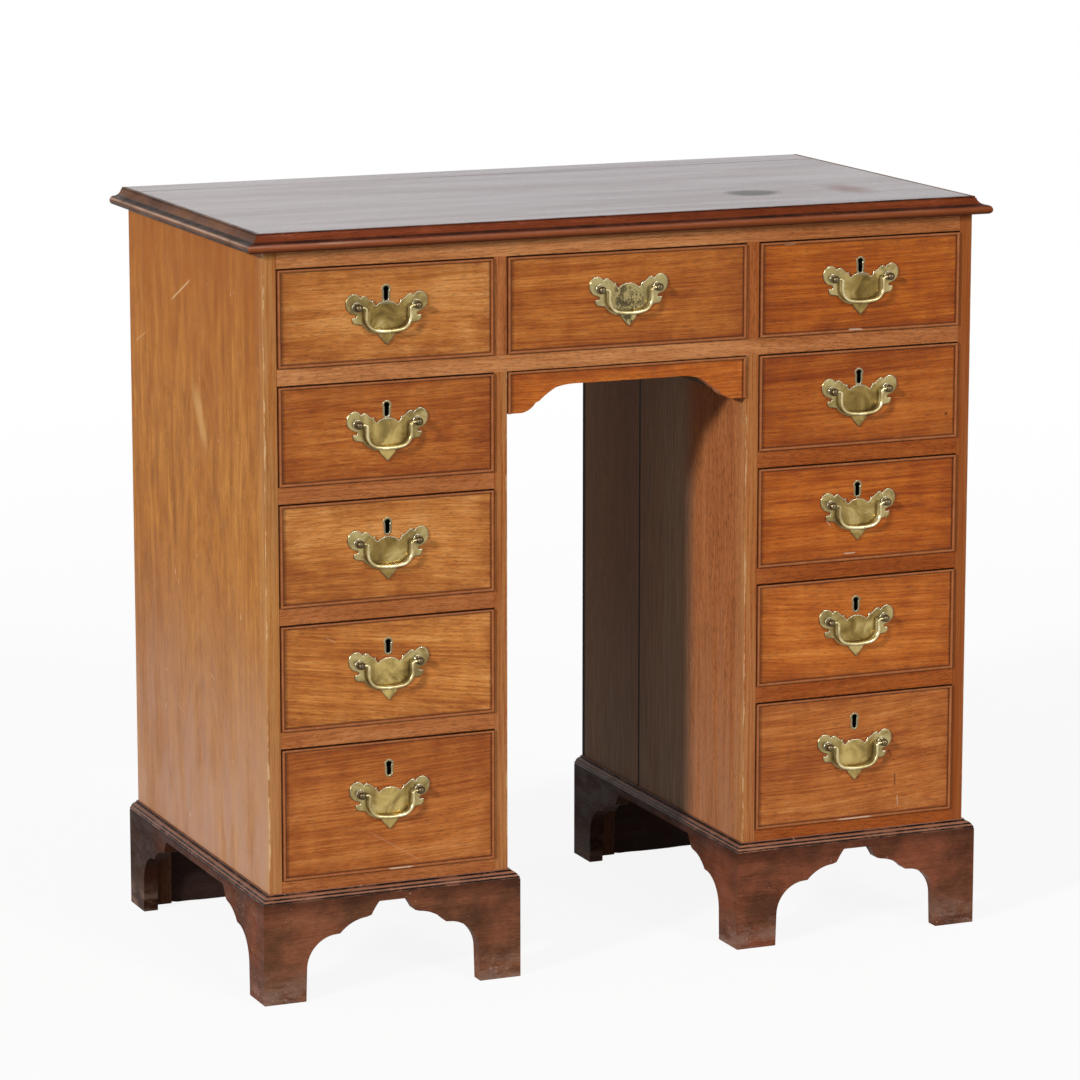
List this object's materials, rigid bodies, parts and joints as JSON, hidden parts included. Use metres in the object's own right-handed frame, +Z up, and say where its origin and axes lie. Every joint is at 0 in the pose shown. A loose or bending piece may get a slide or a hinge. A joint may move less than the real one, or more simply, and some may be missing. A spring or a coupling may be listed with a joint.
{
  "type": "kneehole desk",
  "caption": "Small mahogany kneehole desk with drawers in two pedestals, a frieze and an apron drawer, brass bail pulls and cusped bracket feet.",
  "frame": {"origin": "on the floor under the middle of the desk's box", "axes": "+X to the right seen from the sitter's side, +Y to the back, +Z up"},
  "size_m": [0.821, 0.438, 0.78],
  "materials": {
    "mahogany": "old waxed mahogany, warm orange brown",
    "dark_mahogany": "darkened waxed mahogany, red brown",
    "oak": "dry unfinished oak",
    "brass": "aged cast brass",
    "iron": "dark wrought iron"
  },
  "bodies": {
    "carcass": {"top_boards": "dark_mahogany", "top_edge_moulding": "dark_mahogany", "left_outer_side": "mahogany", "left_inner_side": "mahogany", "right_inner_side": "mahogany", "right_outer_side": "mahogany", "upper_dividers": "mahogany", "drawer_rails": "mahogany", "dust_boards": "oak", "kickers_and_stops": "oak", "back_boards": "oak", "base_mouldings": "dark_mahogany", "left_plinth": "dark_mahogany", "right_plinth": "dark_mahogany", "foot_blocks": "oak", "apron_runners": "oak"},
    "centre_drawer": {"centre_drawer": "mahogany", "centre_drawer_pull": "brass"},
    "centre_drawer_bail": {"centre_drawer_bail": "brass"},
    "left_drawer_1": {"left_drawer_1": "mahogany", "left_drawer_1_pull": "brass"},
    "left_drawer_1_bail": {"left_drawer_1_bail": "brass"},
    "left_drawer_1_bolt": {"left_drawer_1_bolt": "iron"},
    "left_drawer_2": {"left_drawer_2": "mahogany", "left_drawer_2_pull": "brass"},
    "left_drawer_2_bail": {"left_drawer_2_bail": "brass"},
    "left_drawer_2_bolt": {"left_drawer_2_bolt": "iron"},
    "left_drawer_3": {"left_drawer_3": "mahogany", "left_drawer_3_pull": "brass"},
    "left_drawer_3_bail": {"left_drawer_3_bail": "brass"},
    "left_drawer_3_bolt": {"left_drawer_3_bolt": "iron"},
    "left_drawer_4": {"left_drawer_4": "mahogany", "left_drawer_4_pull": "brass"},
    "left_drawer_4_bail": {"left_drawer_4_bail": "brass"},
    "left_drawer_4_bolt": {"left_drawer_4_bolt": "iron"},
    "left_drawer_5": {"left_drawer_5": "mahogany", "left_drawer_5_pull": "brass"},
    "left_drawer_5_bail": {"left_drawer_5_bail": "brass"},
    "left_drawer_5_bolt": {"left_drawer_5_bolt": "iron"},
    "right_drawer_1": {"right_drawer_1": "mahogany", "right_drawer_1_pull": "brass"},
    "right_drawer_1_bail": {"right_drawer_1_bail": "brass"},
    "right_drawer_1_bolt": {"right_drawer_1_bolt": "iron"},
    "right_drawer_2": {"right_drawer_2": "mahogany", "right_drawer_2_pull": "brass"},
    "right_drawer_2_bail": {"right_drawer_2_bail": "brass"},
    "right_drawer_2_bolt": {"right_drawer_2_bolt": "iron"},
    "right_drawer_3": {"right_drawer_3": "mahogany", "right_drawer_3_pull": "brass"},
    "right_drawer_3_bail": {"right_drawer_3_bail": "brass"},
    "right_drawer_3_bolt": {"right_drawer_3_bolt": "iron"},
    "right_drawer_4": {"right_drawer_4": "mahogany", "right_drawer_4_pull": "brass"},
    "right_drawer_4_bail": {"right_drawer_4_bail": "brass"},
    "right_drawer_4_bolt": {"right_drawer_4_bolt": "iron"},
    "right_drawer_5": {"right_drawer_5": "mahogany", "right_drawer_5_pull": "brass"},
    "right_drawer_5_bail": {"right_drawer_5_bail": "brass"},
    "right_drawer_5_bolt": {"right_drawer_5_bolt": "iron"},
    "apron_drawer": {"apron_drawer": "mahogany"}
  },
  "joints": [
    {"name": "centre_drawer_slide", "type": "slide", "parent": "carcass", "child": "centre_drawer", "axis": [0, -1, 0], "range_m": [0, 0.29]},
    {"name": "centre_drawer_bail_swing", "type": "hinge", "parent": "centre_drawer", "child": "centre_drawer_bail", "pos_m": [0, -0.215, 0.7059], "axis": [-1, 0, 0], "range_deg": [-6, 150]},
    {"name": "left_drawer_1_slide", "type": "slide", "parent": "carcass", "child": "left_drawer_1", "axis": [0, -1, 0], "range_m": [0, 0.29]},
    {"name": "left_drawer_1_bail_swing", "type": "hinge", "parent": "left_drawer_1", "child": "left_drawer_1_bail", "pos_m": [-0.2625, -0.215, 0.70251], "axis": [-1, 0, 0], "range_deg": [-6, 150]},
    {"name": "left_drawer_1_bolt_slide", "type": "slide", "parent": "left_drawer_1", "child": "left_drawer_1_bolt", "axis": [0, 0, 1], "range_m": [0, 0.006]},
    {"name": "left_drawer_2_slide", "type": "slide", "parent": "carcass", "child": "left_drawer_2", "axis": [0, -1, 0], "range_m": [0, 0.29]},
    {"name": "left_drawer_2_bail_swing", "type": "hinge", "parent": "left_drawer_2", "child": "left_drawer_2_bail", "pos_m": [-0.2625, -0.215, 0.58516], "axis": [-1, 0, 0], "range_deg": [-6, 150]},
    {"name": "left_drawer_2_bolt_slide", "type": "slide", "parent": "left_drawer_2", "child": "left_drawer_2_bolt", "axis": [0, 0, 1], "range_m": [0, 0.006]},
    {"name": "left_drawer_3_slide", "type": "slide", "parent": "carcass", "child": "left_drawer_3", "axis": [0, -1, 0], "range_m": [0, 0.29]},
    {"name": "left_drawer_3_bail_swing", "type": "hinge", "parent": "left_drawer_3", "child": "left_drawer_3_bail", "pos_m": [-0.2625, -0.215, 0.46495], "axis": [-1, 0, 0], "range_deg": [-6, 150]},
    {"name": "left_drawer_3_bolt_slide", "type": "slide", "parent": "left_drawer_3", "child": "left_drawer_3_bolt", "axis": [0, 0, 1], "range_m": [0, 0.006]},
    {"name": "left_drawer_4_slide", "type": "slide", "parent": "carcass", "child": "left_drawer_4", "axis": [0, -1, 0], "range_m": [0, 0.29]},
    {"name": "left_drawer_4_bail_swing", "type": "hinge", "parent": "left_drawer_4", "child": "left_drawer_4_bail", "pos_m": [-0.2625, -0.215, 0.34096], "axis": [-1, 0, 0], "range_deg": [-6, 150]},
    {"name": "left_drawer_4_bolt_slide", "type": "slide", "parent": "left_drawer_4", "child": "left_drawer_4_bolt", "axis": [0, 0, 1], "range_m": [0, 0.006]},
    {"name": "left_drawer_5_slide", "type": "slide", "parent": "carcass", "child": "left_drawer_5", "axis": [0, -1, 0], "range_m": [0, 0.29]},
    {"name": "left_drawer_5_bail_swing", "type": "hinge", "parent": "left_drawer_5", "child": "left_drawer_5_bail", "pos_m": [-0.2625, -0.215, 0.20717], "axis": [-1, 0, 0], "range_deg": [-6, 150]},
    {"name": "left_drawer_5_bolt_slide", "type": "slide", "parent": "left_drawer_5", "child": "left_drawer_5_bolt", "axis": [0, 0, 1], "range_m": [0, 0.006]},
    {"name": "right_drawer_1_slide", "type": "slide", "parent": "carcass", "child": "right_drawer_1", "axis": [0, -1, 0], "range_m": [0, 0.29]},
    {"name": "right_drawer_1_bail_swing", "type": "hinge", "parent": "right_drawer_1", "child": "right_drawer_1_bail", "pos_m": [0.2625, -0.215, 0.70251], "axis": [-1, 0, 0], "range_deg": [-6, 150]},
    {"name": "right_drawer_1_bolt_slide", "type": "slide", "parent": "right_drawer_1", "child": "right_drawer_1_bolt", "axis": [0, 0, 1], "range_m": [0, 0.006]},
    {"name": "right_drawer_2_slide", "type": "slide", "parent": "carcass", "child": "right_drawer_2", "axis": [0, -1, 0], "range_m": [0, 0.29]},
    {"name": "right_drawer_2_bail_swing", "type": "hinge", "parent": "right_drawer_2", "child": "right_drawer_2_bail", "pos_m": [0.2625, -0.215, 0.58516], "axis": [-1, 0, 0], "range_deg": [-6, 150]},
    {"name": "right_drawer_2_bolt_slide", "type": "slide", "parent": "right_drawer_2", "child": "right_drawer_2_bolt", "axis": [0, 0, 1], "range_m": [0, 0.006]},
    {"name": "right_drawer_3_slide", "type": "slide", "parent": "carcass", "child": "right_drawer_3", "axis": [0, -1, 0], "range_m": [0, 0.29]},
    {"name": "right_drawer_3_bail_swing", "type": "hinge", "parent": "right_drawer_3", "child": "right_drawer_3_bail", "pos_m": [0.2625, -0.215, 0.46495], "axis": [-1, 0, 0], "range_deg": [-6, 150]},
    {"name": "right_drawer_3_bolt_slide", "type": "slide", "parent": "right_drawer_3", "child": "right_drawer_3_bolt", "axis": [0, 0, 1], "range_m": [0, 0.006]},
    {"name": "right_drawer_4_slide", "type": "slide", "parent": "carcass", "child": "right_drawer_4", "axis": [0, -1, 0], "range_m": [0, 0.29]},
    {"name": "right_drawer_4_bail_swing", "type": "hinge", "parent": "right_drawer_4", "child": "right_drawer_4_bail", "pos_m": [0.2625, -0.215, 0.34096], "axis": [-1, 0, 0], "range_deg": [-6, 150]},
    {"name": "right_drawer_4_bolt_slide", "type": "slide", "parent": "right_drawer_4", "child": "right_drawer_4_bolt", "axis": [0, 0, 1], "range_m": [0, 0.006]},
    {"name": "right_drawer_5_slide", "type": "slide", "parent": "carcass", "child": "right_drawer_5", "axis": [0, -1, 0], "range_m": [0, 0.29]},
    {"name": "right_drawer_5_bail_swing", "type": "hinge", "parent": "right_drawer_5", "child": "right_drawer_5_bail", "pos_m": [0.2625, -0.215, 0.20717], "axis": [-1, 0, 0], "range_deg": [-6, 150]},
    {"name": "right_drawer_5_bolt_slide", "type": "slide", "parent": "right_drawer_5", "child": "right_drawer_5_bolt", "axis": [0, 0, 1], "range_m": [0, 0.006]},
    {"name": "apron_drawer_slide", "type": "slide", "parent": "carcass", "child": "apron_drawer", "axis": [0, -1, 0], "range_m": [0, 0.25]}
  ]
}
